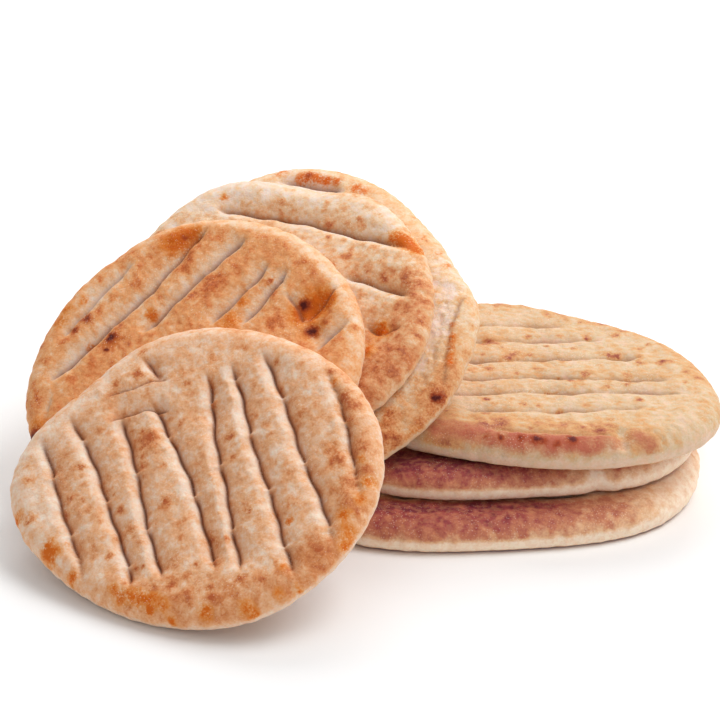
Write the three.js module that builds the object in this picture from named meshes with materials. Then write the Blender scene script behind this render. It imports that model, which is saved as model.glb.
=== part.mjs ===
// Seven grooved pita breads: three lie level on each other, and four lean over them
// in a fan, each one slid further down than the one beneath it.
//
// Millimetres and degrees, +Z up, Z = 0 is the surface that the pile stands on, and
// the Z axis runs through the middle of the pile's box.  Every pita is modelled lying
// flat about its own middle plane, and its group then leans it and puts it in place.

import * as THREE from 'three';

// ---- driving dimensions ----------------------------------------------------------

const STACK_THICKNESS = 14.2;  // a pita of the level stack, which holds its full loft
const FAN_THICKNESS = 13;      // a leaning pita, pressed a little thinner
const RIM_ROUND = 11;          // how far in from the edge the upper face rounds over
const HEEL_ROUND = 5;          // the same on the baked-flat underside
const EDGE_DROP = 0.22;        // the edge is this share of half the thickness below the middle
const FACE_FADE = [1, 14];     // distances from the edge between which marks on the face set in
const GROOVE_HALF_WIDTH = 3.6; // from a groove's crease to its shoulder
const GROOVE_SHARPNESS = 1.4;  // 1 would be a sharp crease, 2 a round valley
const GROOVE_TAPER = 11;       // length over which a groove runs out at each end
const GROOVE_OVERRUN = 2;      // how far past its ends the last of it reaches
const SAG_REACH = 80;          // distance from the middle at which a sag is stated

// The uneven rise and fall of the upper face: a slow and a quick ripple, each with its
// share of the height and the distances over which it swings, lowered by a share so
// that most of it is hollows, and shifted from one pita to the next.
const WAVE_HEIGHT = 0.45;
const SLOW_WAVE = { share: 0.65, acrossU: 13, acrossV: 15 };
const QUICK_WAVE = { share: 0.35, rising: 7.5, falling: 9 };
const WAVE_LOWERED = 0.6;
const WAVE_SHIFT = 1.7;

const FAN_TILT = 32;           // lean of the fan from level
const FAN_TURN = -32;          // the fan leans back towards the far right

const ROW_PITCH = 4.2;         // rows of the mesh between two grooves are about this far apart
const ROW_STEP = 6.6;          // points along a row
const COVERED_COARSER = 1.5;   // how much coarser both are on a pita that others cover
const RIM_POINTS = 78;         // points round the edge
const COVERED_RIM_POINTS = 62; // the same on a covered pita
const ROWS_END = 0.8;          // the rows stop this share of RIM_ROUND in from the edge
const ROUND_RING = 0.3;        // a ring of points lies this share of each rounding in
const OUTER_UNDERSIDE = 0.6;   // rings of the underside, as shares of the edge radius
const INNER_UNDERSIDE = 0.2;
const SPAN_SEARCH = 0.5;       // step of the search for a row's two ends

const STACK_CRUST = 0xd2a878;
const FAN_CRUST = 0xdcb488;

// The middle of the pile's box, from the point that the places below are counted from.
const PILE_MIDDLE = { x: 4.4, y: 151.7 };

// Each pita's `grain` is the direction in which its grooves were pressed.  A groove is
// [across, from, to, drift, bow, depth]: its place across the grain, its two ends along
// it, how far it drifts sideways from end to end, its sideways bow and its depth.  A
// crease is the same for a short mark that runs beside or across the grooves.  A bulge
// of the edge is [direction, height, spread in degrees], and a dent is
// [u, v, radius, depth], where a negative depth is a blister.  The sag is how far the
// pita droops at SAG_REACH up or down the slope.

const STACK = [
  {
    name: 'pita_stack_bottom', place: [52, 175.5, 7.1],
    length: 185, width: 168, turn: 0, covered: true,
    bulges: [[278, -5, 28], [325, 5, 24], [222, 7, 26], [160, -3, 30]],
    grain: 0,
    grooves: [
      [-52, -40, 42, 2, 0, 2.2], [-32, -62, 60, -4, 2, 2.4], [-12, -70, 68, 2, -1, 2.4],
      [9, -70, 66, 2, 1, 2.4], [30, -64, 62, -3, 1, 2.4], [50, -44, 44, 2, 0, 2.2],
    ],
    creases: [], dents: [],
  },
  {
    name: 'pita_stack_middle', place: [61, 195, 21.7],
    length: 180, width: 168, turn: 20, covered: true,
    bulges: [[275, -4, 24], [316, 6, 22], [225, 6, 25]],
    grain: 4,
    grooves: [
      [-54, -38, 42, 3, 0, 2.2], [-34, -60, 58, -2, 1, 2.4], [-14, -68, 66, 2, 1, 2.4],
      [7, -70, 68, -3, -1, 2.4], [27, -66, 62, 2, 1, 2.4], [48, -46, 46, 2, 0, 2.2],
    ],
    creases: [], dents: [],
  },
  {
    name: 'pita_stack_top', place: [72, 178.8, 36.3],
    length: 158, width: 130, turn: -34,
    bulges: [
      [102, 7.5, 24], [158, -7, 24], [208, 8, 26], [332, 6.5, 22], [352, 2, 12], [30, -3.5, 30],
      [275, -3, 40],
    ],
    grain: 0,
    grooves: [
      [-34, -30, 47, 1, -1, 2.2], [-19.5, -46, 66, 1, 1, 2.6], [-5, -54, 60, -1, 1, 2.8],
      [14.5, -50, 48, 0, -1, 2.8], [31, -42, 34, 1, 1, 2.4], [46, -34, 18, -1, 1, 2.2],
    ],
    creases: [], dents: [[20, 22, 9, 0.6], [-20, 5, 8, 0.6], [44, 4, 9, 0.5]],
  },
];

const FAN = [
  {
    name: 'pita_fan_back', place: [-128, 151, -23], lean: 0, sag: 7,
    length: 172, width: 170, turn: 0,
    bulges: [
      [352, 4, 20], [22, 2.5, 14], [60, -7.5, 23], [112, 5, 22], [160, -4, 24], [300, -3, 24],
      [255, 9, 36],
    ],
    grain: 3,
    grooves: [
      [-48, -46, 40, 2, 0, 2.2], [-28, -60, 56, -3, 1, 2.4], [-8, -66, 58, 2, 1, 2.4],
      [12, -64, 58, 2, -1, 2.4], [32, -58, 50, -2, 1, 2.6], [52, -50, 34, 2, 1, 2.6],
      [72.5, -34, -3, 1, 0, 3.0],
    ],
    creases: [[68, 38, 60, -16, 2, 2.0]],
    dents: [[74, 10, 10, 1.4], [80, -12, 9, 1.4], [68, 28, 9, 1.0]],
  },
  {
    name: 'pita_fan_third', place: [-130.5, 148, -9.7], lean: 0, sag: 4.5,
    length: 152, width: 141, turn: 0,
    bulges: [[78, 2.5, 14], [97, -4, 18], [132, 5, 18], [165, -3, 16], [358, 1.5, 20]],
    grain: 2,
    grooves: [
      [-36, -46, 44, 2, 0, 2.4], [-16, -56, 54, -2, 1, 2.6], [4, -58, 42, 2, 1, 2.6],
      [22.5, 30, 64, -1.5, 0, 3.0], [43.5, -43, 54, 1, 2.2, 3.4],
    ],
    creases: [], dents: [[55, 4, 7, 2.0], [10, 33, 14, -1.0], [46, 35, 12, -0.8]],
  },
  {
    name: 'pita_fan_second', place: [-138.5, 108, 3], lean: 1.5, sag: 1.5,
    length: 150, width: 149, turn: 0,
    bulges: [[118, 1.5, 22], [150, -1.5, 12], [60, -1, 20]],
    grain: 73,
    grooves: [
      [-44.5, 35, 58, 0, 0, 1.8], [-26, -52, 4, 2, 0, 2.4], [-6, 25, 57, 2.5, 0, 2.8],
      [4.5, 17, 55, 1.5, 0, 2.6], [26, -2, 59, -2.5, 0, 3.0], [44, -43, 54, -2, -2.9, 3.2],
      [57.5, -25, 22, 0.5, 0, 1.8],
    ],
    creases: [[35, -59, -46, 8, 0, 1.6], [14, -60, -14, 2, 0, 2.4], [-6, -62, -10, 2, 0, 2.4]],
    dents: [[40, 39, 8.5, 4.2], [47, 27, 5, 2.4], [-12, 22, 12, -0.7]],
  },
  {
    name: 'pita_fan_front', place: [-101.3, 56.2, 14.6], lean: 2.4, sag: 0.5,
    length: 158, width: 137, turn: 7,
    bulges: [[120, 2, 25], [163, -5, 18], [203, 5, 22], [250, -2, 30], [315, 2.5, 22]],
    grain: -48,
    grooves: [
      [-57.5, -43, 34, 3, 0, 3.0], [-41, -47, 43, 6.5, 2, 3.4], [-24.7, -40, 44, -2, -0.4, 3.6],
      [-7, -39, 50, 6.5, 2.8, 3.6], [10.6, -42, 55, -8, -1.2, 3.6], [26.2, -42, 68, 1, -1, 3.6],
      [43, -41, 65, 5.5, -0.3, 3.4], [61, -30, 49, -3, 1.9, 3.2],
    ],
    creases: [[-6.4, -62, -48, 6, 0, 2.2]],
    dents: [[-40, 27, 8, -1.4], [-14, 23, 10, 1.6]],
  },
];

// ---- the form of one pita ----------------------------------------------------------

const radians = THREE.MathUtils.degToRad;
const { clamp, smoothstep } = THREE.MathUtils;

// Edge radius in direction `angle`: an ellipse with soft bulges and flats added.
function edgeRadius(pita, angle) {
  const a = pita.length / 2;
  const b = pita.width / 2;
  const turned = angle - radians(pita.turn);
  let radius = (a * b) / Math.hypot(b * Math.cos(turned), a * Math.sin(turned));
  for (const [direction, height, spread] of pita.bulges) {
    const away = angle - radians(direction);
    const wrapped = Math.atan2(Math.sin(away), Math.cos(away));
    radius += height * Math.exp(-((wrapped / radians(spread)) ** 2));
  }
  return radius;
}

// The pita's own u and v for a place along and across its grain, and the way back.
function fromGrain(pita, along, across) {
  const cos = Math.cos(radians(pita.grain));
  const sin = Math.sin(radians(pita.grain));
  return [along * cos - across * sin, along * sin + across * cos];
}

function toGrain(pita, u, v) {
  const cos = Math.cos(radians(pita.grain));
  const sin = Math.sin(radians(pita.grain));
  return [u * cos + v * sin, v * cos - u * sin];
}

// A groove's place across the grain at a point along it.  Past its ends the line runs
// straight on, so that the rows of the mesh can follow it.
function grooveLine([across, from, to, drift, bow], along) {
  const share = clamp((along - from) / (to - from), 0, 1);
  return across + drift * (share - 0.5) + bow * 4 * share * (1 - share);
}

// Depth of the pressed grooves: each is a crease with rounded shoulders that runs out
// towards its ends, and where two meet the deeper one counts.
function grooveDepth(pita, u, v) {
  const [along, across] = toGrain(pita, u, v);
  let deepest = 0;
  for (const groove of [...pita.grooves, ...pita.creases]) {
    const [, from, to, , , depth] = groove;
    const offset = Math.abs(across - grooveLine(groove, along));
    const inside = Math.min(along - from, to - along);
    const runOut = smoothstep(inside, -GROOVE_OVERRUN, GROOVE_TAPER);
    const shoulder = Math.exp(-((offset / GROOVE_HALF_WIDTH) ** GROOVE_SHARPNESS));
    deepest = Math.max(deepest, depth * runOut * shoulder);
  }
  return deepest;
}

function dentDepth(pita, u, v) {
  let depth = 0;
  for (const [dentU, dentV, radius, dent] of pita.dents) {
    depth += dent * Math.exp(-(((u - dentU) ** 2 + (v - dentV) ** 2) / radius ** 2));
  }
  return depth;
}

// Rise and fall left by the dough's own bubbles, different on every pita.
function wave(pita, u, v) {
  const phase = pita.order * WAVE_SHIFT;
  const slow = Math.sin(u / SLOW_WAVE.acrossU + phase) * Math.cos(v / SLOW_WAVE.acrossV - phase);
  const rising = Math.sin((u + v) / QUICK_WAVE.rising + 2 * phase);
  const falling = Math.cos((u - v) / QUICK_WAVE.falling + phase);
  const ripples = SLOW_WAVE.share * slow + QUICK_WAVE.share * rising * falling;
  return WAVE_HEIGHT * (ripples - WAVE_LOWERED);
}

const quarterRound = (inward, width) => Math.sqrt(1 - (1 - Math.min(1, inward / width)) ** 2);

function upperHeight(pita, u, v) {
  const inward = Math.max(0, edgeRadius(pita, Math.atan2(v, u)) - Math.hypot(u, v));
  const loft = (pita.thickness / 2) * ((1 + EDGE_DROP) * quarterRound(inward, RIM_ROUND) - EDGE_DROP);
  const face = smoothstep(inward, ...FACE_FADE);
  return loft + face * (wave(pita, u, v) - grooveDepth(pita, u, v) - dentDepth(pita, u, v));
}

// The lines that the mesh's rows follow: along every groove, evenly between two
// grooves, and on past the outermost ones to the edge.
function rowLines(pita) {
  const pitch = pita.covered ? ROW_PITCH * COVERED_COARSER : ROW_PITCH;
  const reach = Math.max(pita.length, pita.width) / 2 + pitch;
  const lines = [];
  const { grooves } = pita;
  const first = grooves[0];
  const last = grooves[grooves.length - 1];
  for (let k = Math.ceil((reach + first[0]) / pitch); k > 0; k -= 1) {
    lines.push((along) => grooveLine(first, along) - k * pitch);
  }
  for (let g = 0; g + 1 < grooves.length; g += 1) {
    const count = Math.max(2, Math.round((grooves[g + 1][0] - grooves[g][0]) / pitch));
    for (let k = 0; k < count; k += 1) {
      const share = k / count;
      lines.push((along) => (
        (1 - share) * grooveLine(grooves[g], along) + share * grooveLine(grooves[g + 1], along)
      ));
    }
  }
  for (let k = 0; k <= Math.ceil((reach - last[0]) / pitch); k += 1) {
    lines.push((along) => grooveLine(last, along) + k * pitch);
  }
  return lines;
}

// The stretch of a row that lies on the face, inside the rounded rim.
function rowSpan(pita, line) {
  const reach = Math.max(pita.length, pita.width);
  let start = null;
  let end = null;
  for (let along = -reach; along <= reach; along += SPAN_SEARCH) {
    const [u, v] = fromGrain(pita, along, line(along));
    const limit = edgeRadius(pita, Math.atan2(v, u)) - RIM_ROUND * ROWS_END;
    if (Math.hypot(u, v) < limit) {
      start = start ?? along;
      end = along;
    }
  }
  return start === null || end - start < ROW_PITCH ? null : [start, end];
}

// A closed body: rows of points along the grain over the face, then rings round the
// rim and back under to the middle of the underside.
function pitaGeometry(pita) {
  const points = [];
  const triangles = [];

  function addPoint(u, v, z) {
    points.push([u, v, z - pita.sag * (v / SAG_REACH) ** 2]);
    return { index: points.length - 1, order: Math.atan2(v, u) };
  }

  const step = pita.covered ? ROW_STEP * COVERED_COARSER : ROW_STEP;
  const rows = [];
  for (const line of rowLines(pita)) {
    const span = rowSpan(pita, line);
    if (span) {
      const count = Math.max(1, Math.ceil((span[1] - span[0]) / step));
      const row = [];
      for (let i = 0; i <= count; i += 1) {
        const along = THREE.MathUtils.lerp(span[0], span[1], i / count);
        const [u, v] = fromGrain(pita, along, line(along));
        row.push({ ...addPoint(u, v, upperHeight(pita, u, v)), along });
      }
      rows.push(row);
    }
  }
  for (let r = 1; r < rows.length; r += 1) joinRows(rows[r - 1], rows[r], triangles);

  const inner = rows.slice(1, -1);
  const faceEdge = [
    ...rows[0],
    ...inner.map((row) => row[row.length - 1]),
    ...[...rows[rows.length - 1]].reverse(),
    ...inner.map((row) => row[0]).reverse(),
  ];

  function ring(count, radiusAt, heightAt) {
    return Array.from({ length: count }, (_, i) => {
      const angle = (i / count) * 2 * Math.PI;
      const radius = radiusAt(edgeRadius(pita, angle));
      const u = radius * Math.cos(angle);
      const v = radius * Math.sin(angle);
      return addPoint(u, v, heightAt(u, v));
    });
  }

  const half = pita.thickness / 2;
  const heelHeight = -half * (EDGE_DROP + (1 - EDGE_DROP) * quarterRound(ROUND_RING, 1));
  const rim = pita.covered ? COVERED_RIM_POINTS : RIM_POINTS;
  const loops = [
    faceEdge,
    ring(rim, (edge) => edge - RIM_ROUND * ROUND_RING, (u, v) => upperHeight(pita, u, v)),
    ring(rim, (edge) => edge, () => -half * EDGE_DROP),
    ring(rim, (edge) => edge - HEEL_ROUND * ROUND_RING, () => heelHeight),
    ring(rim, (edge) => edge - HEEL_ROUND, () => -half),
    ring(Math.round(rim / 2), (edge) => edge * OUTER_UNDERSIDE, () => -half),
    ring(Math.round(rim / 6), (edge) => edge * INNER_UNDERSIDE, () => -half),
  ];
  for (let k = 1; k < loops.length; k += 1) joinLoops(loops[k - 1], loops[k], triangles);
  const middle = addPoint(0, 0, -half);
  const last = loops[loops.length - 1];
  last.forEach((point, i) => {
    triangles.push(point.index, middle.index, last[(i + 1) % last.length].index);
  });

  const geometry = new THREE.BufferGeometry();
  geometry.setAttribute('position', new THREE.Float32BufferAttribute(points.flat(), 3));
  geometry.setIndex(triangles);
  geometry.computeVertexNormals();
  return geometry;
}

// Joins two neighbouring rows, always stepping along the one whose next point comes first.
function joinRows(lower, upper, triangles) {
  let i = 0;
  let j = 0;
  while (i + 1 < lower.length || j + 1 < upper.length) {
    const stepLower = j + 1 >= upper.length
      || (i + 1 < lower.length && lower[i + 1].along <= upper[j + 1].along);
    const next = stepLower ? lower[i + 1] : upper[j + 1];
    triangles.push(lower[i].index, next.index, upper[j].index);
    if (stepLower) i += 1;
    else j += 1;
  }
}

// Joins two closed loops in the same way, each taken once round from its lowest angle.
function joinLoops(inner, outer, triangles) {
  const fromLowest = (loop) => {
    const start = loop.reduce((best, point, i) => (point.order < loop[best].order ? i : best), 0);
    const turned = [...loop.slice(start), ...loop.slice(0, start)];
    return [...turned, { ...turned[0], order: turned[0].order + 2 * Math.PI }];
  };
  const a = fromLowest(inner);
  const b = fromLowest(outer);
  let i = 0;
  let j = 0;
  while (i + 1 < a.length || j + 1 < b.length) {
    const stepInner = j + 1 >= b.length || (i + 1 < a.length && a[i + 1].order <= b[j + 1].order);
    const next = stepInner ? a[i + 1] : b[j + 1];
    triangles.push(a[i].index, b[j].index, next.index);
    if (stepInner) i += 1;
    else j += 1;
  }
}

// ---- the pile ------------------------------------------------------------------------

function crust(colour) {
  return new THREE.MeshStandardMaterial({ color: colour, roughness: 0.82, metalness: 0 });
}

function pitaMesh(pita, colour) {
  const mesh = new THREE.Mesh(pitaGeometry(pita), crust(colour));
  mesh.name = pita.name;
  mesh.position.set(...pita.place);
  mesh.rotation.x = radians(pita.lean);
  return mesh;
}

const pile = new THREE.Group();
pile.position.set(-PILE_MIDDLE.x, -PILE_MIDDLE.y, 0);

const stack = new THREE.Group();
STACK.forEach((pita, index) => {
  const level = { order: index, thickness: STACK_THICKNESS, lean: 0, sag: 0 };
  stack.add(pitaMesh({ ...pita, ...level }, STACK_CRUST));
});
pile.add(stack);

const fan = new THREE.Group();
fan.rotation.set(radians(FAN_TILT), 0, radians(FAN_TURN), 'ZXY');
FAN.forEach((pita, index) => {
  const leaning = { order: STACK.length + index, thickness: FAN_THICKNESS };
  fan.add(pitaMesh({ ...pita, ...leaning }, FAN_CRUST));
});
pile.add(fan);

const part = new THREE.Group();
part.add(pile);

export default part;
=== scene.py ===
"""A pile of seven grooved pita breads, baked, blotched and dusted.

Sizes are in millimetres until a mesh is made, which is in metres.  Every bread is worked
out lying flat about its own middle plane, in its own u and v, with directions in degrees
from u towards v, and is then put in its place.
"""

import bpy
import numpy as np
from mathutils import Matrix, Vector


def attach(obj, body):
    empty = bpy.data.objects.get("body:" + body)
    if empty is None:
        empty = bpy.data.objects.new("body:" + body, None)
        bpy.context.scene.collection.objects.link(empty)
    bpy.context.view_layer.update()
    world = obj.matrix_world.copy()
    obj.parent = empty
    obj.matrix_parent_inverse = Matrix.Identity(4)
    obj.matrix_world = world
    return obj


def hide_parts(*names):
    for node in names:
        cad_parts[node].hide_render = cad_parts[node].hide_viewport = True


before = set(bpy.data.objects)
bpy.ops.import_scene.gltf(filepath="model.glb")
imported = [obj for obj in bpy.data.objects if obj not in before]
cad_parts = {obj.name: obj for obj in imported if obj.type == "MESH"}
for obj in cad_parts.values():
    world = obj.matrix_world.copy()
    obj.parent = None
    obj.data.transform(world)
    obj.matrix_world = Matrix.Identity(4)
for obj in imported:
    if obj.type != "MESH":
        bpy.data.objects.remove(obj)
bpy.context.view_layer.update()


# ---- The lowest bread of the level stack ------------------------------------------------
# A thick round of leavened dough, pressed with a row of grooves, then baked on a hot plate:
# flat and pale below, puffed and toasted above.  It carries the rest and only its rim shows.

def smooth_step(x, low, high):
    """0 below `low`, 1 above `high`, and 3t^2 - 2t^3 in between."""
    t = np.clip((x - low) / (high - low), 0, 1)
    return t * t * (3 - 2 * t)


def bell(distance, width):
    """Falls off from 1 as exp(-(distance / width)^2)."""
    return np.exp(-(distance / width) ** 2)


def mound(u, v, middle_u, middle_v, radius):
    """The same all round a point: exp(-(distance squared) / radius^2)."""
    return np.exp(-((u - middle_u) ** 2 + (v - middle_v) ** 2) / radius ** 2)


def away_from(angle, direction):
    """How far an angle in radians lies past a direction in degrees, within half a turn."""
    away = angle - np.radians(direction)
    return np.arctan2(np.sin(away), np.cos(away))


def edge_radius(bread, angle):
    """Edge radius at an angle: an ellipse's, plus a bell-shaped bulge or, where its height
    is negative, a flat for each [direction, height, spread]."""
    a, b = bread["length"] / 2, bread["width"] / 2
    turned = angle - np.radians(bread["turn"])
    radius = a * b / np.hypot(b * np.cos(turned), a * np.sin(turned))
    for direction, height, spread in bread["bulges"]:
        radius = radius + height * bell(away_from(angle, direction), np.radians(spread))
    return radius


RIPPLE_WAVES = 14
RIPPLE_RISE = 0.8                   # most that a wave climbs out of the bread's plane, in radians
RIPPLE_LENGTHS = (0.7, 1.6)         # shortest and longest wave, over the length asked for


def ripples(place, length, seed):
    """Uneven value of about -1 to 1 at places (u, v, z): the sum of plane waves near `length`
    long, each with a seeded direction and phase, over the square root of twice their number."""
    draw = np.random.default_rng(seed)
    turn = draw.uniform(0, 2 * np.pi, RIPPLE_WAVES)
    rise = draw.uniform(-RIPPLE_RISE, RIPPLE_RISE, RIPPLE_WAVES)
    number = 2 * np.pi / (length * draw.uniform(*RIPPLE_LENGTHS, RIPPLE_WAVES))
    phase = draw.uniform(0, 2 * np.pi, RIPPLE_WAVES)
    u, v, z = place
    total = np.zeros_like(u)
    for t, r, n, p in zip(turn, rise, number, phase):
        total += np.sin(n * (np.cos(r) * (u * np.cos(t) + v * np.sin(t)) + z * np.sin(r)) + p)
    return total / np.sqrt(2 * RIPPLE_WAVES)


def layered(place, layers, seed, start=0.0):
    """`start` plus ripples for each layer (height, length), with seeds that count up."""
    total = start
    for step, (height, length) in enumerate(layers):
        total = total + height * ripples(place, length, seed + step)
    return total


SPOT_EDGE = ((0.5, 5.0), (0.22, 2.2))       # layers of ripples that fray the edge of a spot


def spots(place, marks, seed):
    """Sum of bell-shaped spots [u, v, radius, strength], read at places that fine ripples
    have shifted, so that no spot is round."""
    u = layered(place, SPOT_EDGE, seed, place[0])
    v = layered(place, SPOT_EDGE, seed + 2, place[1])
    total = np.zeros_like(u)
    for spot_u, spot_v, radius, strength in marks:
        total += strength * mound(u, v, spot_u, spot_v, radius)
    return total


def scatter(bread, seed, count, radii, strengths):
    """Seeded spots all over a bread, as marks for spots()."""
    draw = np.random.default_rng(seed)
    angle = draw.uniform(0, 2 * np.pi, count)
    radius = np.sqrt(draw.uniform(0, 1, count)) * edge_radius(bread, angle)
    sizes = draw.uniform(*radii, count)
    strong = draw.uniform(*strengths, count)
    return list(zip(radius * np.cos(angle), radius * np.sin(angle), sizes, strong))


def waver(along, waves, phases, start=0.0):
    """`start` plus a sine wave (height, length for a radian) for each phase along a line."""
    total = start
    for (height, length), phase in zip(waves, phases):
        total = total + height * np.sin(along / length + phase)
    return total


def trough(offset, steep, gentle):
    """Cross-section of a groove, 1 at its bottom: (1 - distance / width) squared, with a
    narrow bank at negative offsets and a broad one at positive, so that ridges are pillows."""
    width = np.where(offset > 0, gentle, steep)
    return np.clip(1 - np.abs(offset) / width, 0, 1) ** 2


STEEP_BANK = 5.0                    # width of the bank on the side that the blade pushed up
BANK_SCALLOPS = 0.22                # how much that bank widens and narrows,
SCALLOP_LENGTHS = (2.1, 5.3)        # over these lengths for a radian
GROOVE_TAPER = (-2.0, 7.0)          # a groove deepens between these distances from its end
GROOVE_STEP = 2.4                   # each groove is this far out of phase with the last
GROOVE_WAVER = ((0.3, 2.6), (0.4, 8.1))
PATCH_LENGTH = 11.0                 # over which its depth varies, for a radian
CUT_WIDTHS = (1.2, 0.5)             # of the narrow cut, on the gentle and the steep side
CUT_DEPTH = 0.45                    # as a share of the groove's depth
BANK_SHADE_WIDTHS = (3.6, 0.4)           # width of the painted shade beside the cut, on those sides
CUT_SHADE, BANK_SHADE = 0.55, 0.45       # what each adds to the painted shade of a groove
FULL_SHADE_DEPTH = 2.8             # a groove this deep has all of it
BARE_WIDTH = 5.5                    # of the steep bank that the heat missed
TAB_PITCH, TAB_DRIFT = 31.0, 3.0    # dough sticks together across a groove about this often
TAB_LENGTH = 0.018                  # along the groove; the smaller, the shorter
TAB_WIDTH = 3.0
TAB_FILLS_CUT, TAB_FILLS_BANK = 0.9, 0.45


def grooves_of(bread, u, v):
    """How far the grooves press the face down, how much painted shade a place gets in and
    beside the bottoms of the grooves, and how bare of toast it is, which the steep banks are.

    A groove [place across the grain, start, end, drift, bow, depth] runs along the grain,
    drifts and bows off it and wavers a little.  Its cross-section is a trough with a narrow
    cut at the bottom; it runs out at both ends, and where the dough tore it is bridged by
    tabs now and then.  The `creases` are grooves that are listed apart, and they get the
    same painted shade."""
    grain = np.radians(bread["grain"])
    along = u * np.cos(grain) + v * np.sin(grain)
    across = v * np.cos(grain) - u * np.sin(grain)
    pressed, crease, bare = np.zeros_like(u), np.zeros_like(u), np.zeros_like(u)
    for number, groove in enumerate(bread["grooves"] + bread["creases"]):
        place, start, end, drift, bow, depth = groove
        share = np.clip((along - start) / (end - start), 0, 1)
        phase = number * GROOVE_STEP + bread["order"]
        line = waver(along, GROOVE_WAVER, (phase, 2 * phase))
        offset = across - place - drift * (share - 0.5) - bow * 4 * share * (1 - share) - line
        quick, slow = SCALLOP_LENGTHS
        scallop = 1 + BANK_SCALLOPS * np.sin(along / quick + 3 * phase) * np.sin(along / slow + phase)
        run_out = smooth_step(np.minimum(along - start, end - along), *GROOVE_TAPER)
        beat = np.cos(np.pi * along / (TAB_PITCH + TAB_DRIFT * np.sin(phase)) + 3 * phase) ** 2
        tab = bread["tabs"] * np.exp((beat - 1) / TAB_LENGTH) * bell(offset, TAB_WIDTH)
        cut = run_out * bell(offset, np.where(offset > 0, *CUT_WIDTHS)) * (1 - TAB_FILLS_CUT * tab)
        depth = depth * (1 - bread["patchy"] * np.sin(along / PATCH_LENGTH + 4 * phase) ** 2)
        bank = run_out * trough(offset, STEEP_BANK * scallop, bread["gentle"])
        pressed = np.maximum(pressed, depth * (bank * (1 - TAB_FILLS_BANK * tab) + CUT_DEPTH * cut))
        # Painted shade: the cut and the bank beside it are darkened brown, as if the groove bottom lay in
        # shade.
        painted_bank_shade = run_out * np.exp(-np.abs(offset) / np.where(offset > 0, *BANK_SHADE_WIDTHS))
        painted_groove_shade = CUT_SHADE * cut + BANK_SHADE * painted_bank_shade
        crease = np.maximum(crease, np.minimum(1, depth / FULL_SHADE_DEPTH) * painted_groove_shade)
        missed = np.where(offset < 0, np.clip(1 + offset / BARE_WIDTH, 0, 1), 0)
        bare = np.maximum(bare, run_out * missed)
    return pressed, crease, bare


FOLD_WAVER = ((0.35, 2.3), (0.3, 5.1))
FOLD_TAPER = (-1.5, 3.5)
FOLD_SHADE_WIDTH = 0.8                     # half the width of the line of painted shade in a fold
# a fold this deep gets all of its line of painted shade
FULL_FOLD_SHADE_DEPTH = 1.5
LIP_WAVES = ((0.8, 9, 1), (0.5, 23, 0), (0.25, 61, 0))      # height, waves in 2 pi, phase
LIP_BANKS = (2.2, 9.0)              # steep and gentle
LIP_TAPER = 0.7                     # share of its spread over which a lip stays whole
# Painted shade just inside a lip: how much, how far in from its bottom, and how wide.
LIP_PAINTED_SHADE, LIP_SHADE_PLACE, LIP_SHADE_WIDTH = 0.4, 1.0, 2.4


def folds_of(bread, u, v, inset):
    """The same for single folds, soft valleys and the lip of a torn rim: how far they press
    the face down, and the painted shade that folds and lips get.

    A fold [from u, from v, to u, to v, bow, depth, steep, gentle] runs straight or bowed,
    with its gentle bank on the left of its way and a line of painted shade along its
    bottom, and fades out at its ends.  A valley [.., bow, depth, half width] is
    bell-shaped across.  A lip [inset, direction, spread, depth] is a groove that follows
    the rim, with its steep bank on the outside and a band of painted shade just inside."""
    pressed, crease, sunk = np.zeros_like(u), np.zeros_like(u), np.zeros_like(u)

    def follow(from_u, from_v, to_u, to_v, bow):
        length = np.hypot(to_u - from_u, to_v - from_v)
        way_u, way_v = (to_u - from_u) / length, (to_v - from_v) / length
        along = (u - from_u) * way_u + (v - from_v) * way_v
        share = np.clip(along / length, 0, 1)
        straight = (v - from_v) * way_u - (u - from_u) * way_v - bow * 4 * share * (1 - share)
        offset = waver(along, FOLD_WAVER, (from_u, from_v), straight)
        return offset, smooth_step(np.minimum(along, length - along), *FOLD_TAPER)

    for *route, depth, steep, gentle in bread["folds"]:
        offset, run_out = follow(*route)
        pressed = np.maximum(pressed, depth * run_out * trough(offset, steep, gentle))
        crease = np.maximum(crease, run_out * min(1, depth / FULL_FOLD_SHADE_DEPTH) * bell(offset, FOLD_SHADE_WIDTH))
    for *route, depth, half_width in bread["valleys"]:
        offset, run_out = follow(*route)
        sunk += depth * run_out * bell(offset, half_width)
    for place, direction, spread, depth in bread["lips"]:
        away = np.abs(away_from(np.arctan2(v, u), direction))
        run_out = 1 - smooth_step(away, LIP_TAPER * np.radians(spread), np.radians(spread))
        line = place
        for height, times, phase in LIP_WAVES:
            line = line + height * np.sin(times * away + phase)
        offset = inset - line
        pressed = np.maximum(pressed, depth * run_out * trough(offset, *LIP_BANKS))
        # Painted shade in the hollow just inside the lip.
        shade = LIP_PAINTED_SHADE * run_out * bell(offset - LIP_SHADE_PLACE, LIP_SHADE_WIDTH)
        crease = np.maximum(crease, shade)
    return pressed + sunk, crease


SEEDS_EACH = 100                    # seeds set aside for one bread
RIM_ROUND = 11.0                    # how far in from the edge the upper face rounds over
EDGE_DROP = 0.22                    # how far the edge lies below the middle, in half thicknesses
FACE_FADE = (1.0, 14.0)             # grooves and blisters set in between these insets,
RIM_FADE = (0.0, 3.0)               # folds and the fine relief between these
WAVE_HEIGHT = 0.45
WAVE_STEP = 1.7                     # in radians, from one bread to the next
WAVE_LOWERED = 0.6
SLOW_WAVE, QUICK_WAVE = (13.0, 15.0), (7.5, 9.0)    # lengths for a radian, two ways each
SLOW_SHARE, QUICK_SHARE = 0.65, 0.35
FINE_RELIEF = ((0.20, 10.0), (0.13, 4.6), (0.08, 2.3))      # layers of ripples
FINE_LOWERED = 0.2
WRINKLES = ((0.5, 3.4), (0.4, 1.9))
BLISTERS, BLISTER_RADII, BLISTER_HEIGHTS = 46, (1.4, 4.0), (0.10, 0.38)


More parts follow.
